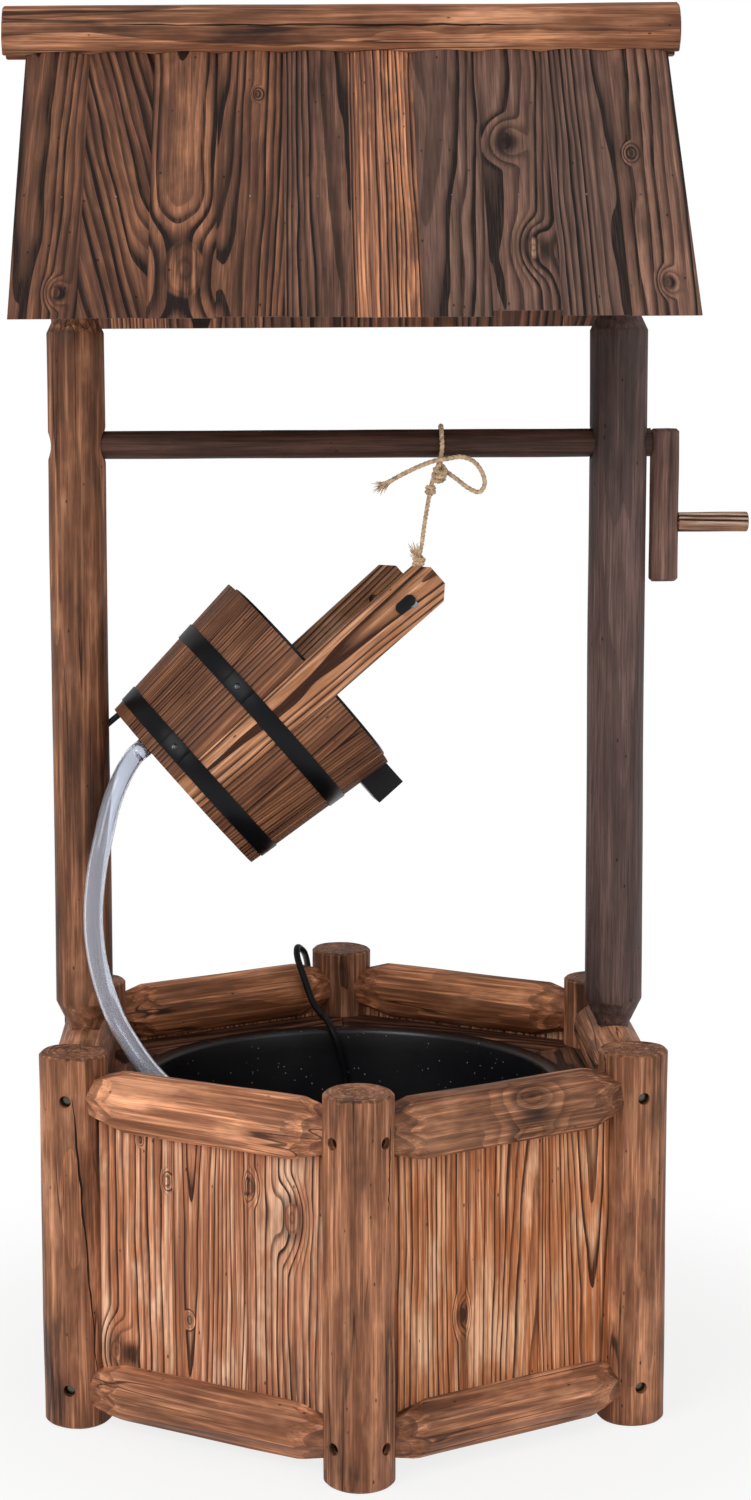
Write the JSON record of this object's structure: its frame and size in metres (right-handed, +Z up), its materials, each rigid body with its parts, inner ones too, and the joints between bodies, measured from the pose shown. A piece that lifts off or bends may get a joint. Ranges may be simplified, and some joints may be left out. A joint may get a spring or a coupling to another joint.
{
  "type": "garden fountain",
  "caption": "Log wishing-well garden fountain: hexagonal base with a basin, board roof on two posts, crossbar with crank, tilted pouring bucket, hose and submersible pump.",
  "frame": {"origin": "ground level, under the middle of the object's box (without the cable's coil and plug)", "axes": "+X to the right, to the crank; +Y to the back; +Z up. The hexagon's front corner points along -Y"},
  "size_m": [0.6, 0.593, 1.12],
  "materials": {
    "post_wood": "matte",
    "rail_wood": "matte",
    "panel_wood": "matte",
    "deck_wood": "matte",
    "dark_wood": "matte",
    "roof_wood": "matte",
    "bar_wood": "matte",
    "bucket_wood": "satin",
    "ear_wood": "satin",
    "black_plastic": "satin",
    "black_steel": "satin",
    "bright_steel": "satin",
    "bright_plastic": "satin",
    "clear_vinyl": "gloss",
    "jute": "matte",
    "black_cable": "matte"
  },
  "bodies": {
    "base": {"front_post": "post_wood", "front_right_post": "post_wood", "back_right_post": "post_wood", "back_post": "post_wood", "back_left_post": "post_wood", "front_left_post": "post_wood", "front_right_top_rail": "rail_wood", "right_top_rail": "rail_wood", "back_right_top_rail": "rail_wood", "back_left_top_rail": "rail_wood", "left_top_rail": "rail_wood", "front_left_top_rail": "rail_wood", "front_right_low_rail": "rail_wood", "right_low_rail": "rail_wood", "back_right_low_rail": "rail_wood", "back_left_low_rail": "rail_wood", "left_low_rail": "rail_wood", "front_left_low_rail": "rail_wood", "front_right_panel": "panel_wood", "right_panel": "panel_wood", "back_right_panel": "panel_wood", "back_left_panel": "panel_wood", "left_panel": "panel_wood", "front_left_panel": "panel_wood", "rail_screws": "bright_steel", "deck_boards": "deck_wood", "deck_battens": "deck_wood", "basin": "black_plastic", "left_upright": "dark_wood", "right_upright": "dark_wood", "gable_frames": "dark_wood", "roof_battens": "dark_wood", "front_roof_boards": "roof_wood", "back_roof_boards": "roof_wood", "ridge_log": "dark_wood", "roof_brads": "bright_steel", "hose": "clear_vinyl", "rope": "jute", "pump_body": "black_plastic", "pump_cover": "black_plastic", "suction_feet": "black_cable", "pump_cable": "black_cable", "cable_coil": "black_cable", "coil_tie": "black_cable", "plug": "black_cable"},
    "windlass": {"crossbar": "bar_wood", "crank_arm": "dark_wood", "crank_handle": "rail_wood", "crank_pins": "bright_steel"},
    "bucket": {"bucket_staves": "bucket_wood", "bucket_ears": "ear_wood", "bucket_bottom": "bucket_wood", "bucket_liner": "black_plastic", "bucket_bands": "black_steel", "band_screws": "bright_steel", "ear_rod": "black_plastic", "bucket_stay": "black_steel", "hose_fitting": "black_plastic"},
    "impeller": {"impeller": "bright_plastic"},
    "flow_dial": {"flow_dial": "bright_plastic"}
  },
  "joints": [
    {"name": "windlass_turn", "type": "hinge", "parent": "base", "child": "windlass", "pos_m": [0, 0, 0.7705], "axis": [1, 0, 0], "continuous": true},
    {"name": "bucket_sway", "type": "hinge", "parent": "base", "child": "bucket", "pos_m": [0.04974, 0, 0.7705], "axis": [0.7678, 0.0034, 0.6406], "range_deg": [-6, 6], "deforming": ["hose", "rope"]},
    {"name": "impeller_spin", "type": "hinge", "parent": "base", "child": "impeller", "pos_m": [-0.08626, -0.02, 0.099], "axis": [0, -1, 0], "continuous": true},
    {"name": "flow_dial_turn", "type": "hinge", "parent": "base", "child": "flow_dial", "pos_m": [-0.08626, -0.046, 0.099], "axis": [0, -1, 0], "range_deg": [0, 90]}
  ]
}
